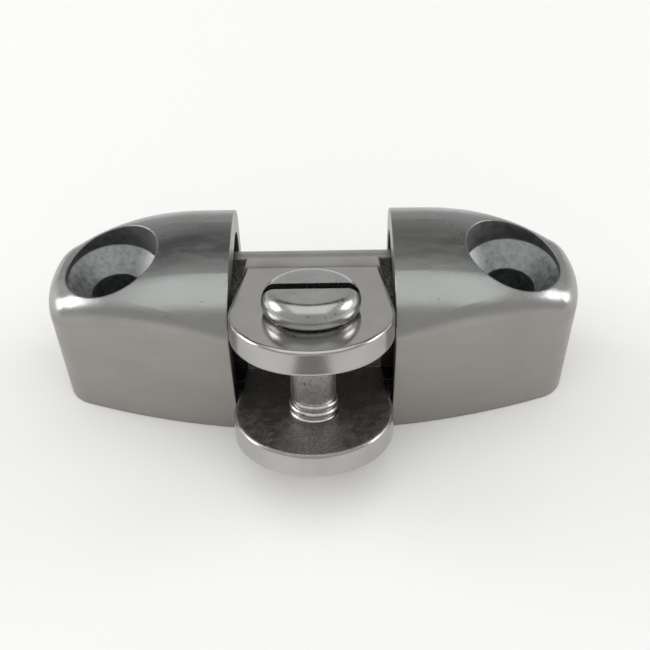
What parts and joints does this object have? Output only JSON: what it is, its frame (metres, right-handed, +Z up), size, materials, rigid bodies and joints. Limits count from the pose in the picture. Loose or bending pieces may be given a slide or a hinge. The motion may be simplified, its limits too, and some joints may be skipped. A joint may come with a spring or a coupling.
{
  "type": "swivel fork deck hinge",
  "caption": "Low boat-shaped deck mount with a fork that swings up between its end blocks and holds a tube eye on a screw.",
  "frame": {"origin": "midway between the two screw holes, on the underside of the base", "axes": "+X along the base, +Z up from the deck, the fork leans out towards -Y"},
  "size_m": [0.0672, 0.0366, 0.0261],
  "materials": {
    "base": "polished stainless steel casting, faintly brushed",
    "swivel_fork": "polished stainless steel casting, duller in the slot",
    "clevis_screw": "polished head, plain turned shank"
  },
  "bodies": {
    "base": {"base": "base"},
    "fork": {"swivel_fork": "swivel_fork"},
    "screw": {"clevis_screw": "clevis_screw"}
  },
  "joints": [
    {"name": "fork_swing", "type": "hinge", "parent": "base", "child": "fork", "pos_m": [0, 0, 0.009], "axis": [-1, 0, 0], "range_deg": [0, 130]},
    {"name": "screw_lift", "type": "slide", "parent": "fork", "child": "screw", "axis": [0, 0.3289, 0.9444], "range_m": [0, 0.0136]}
  ]
}
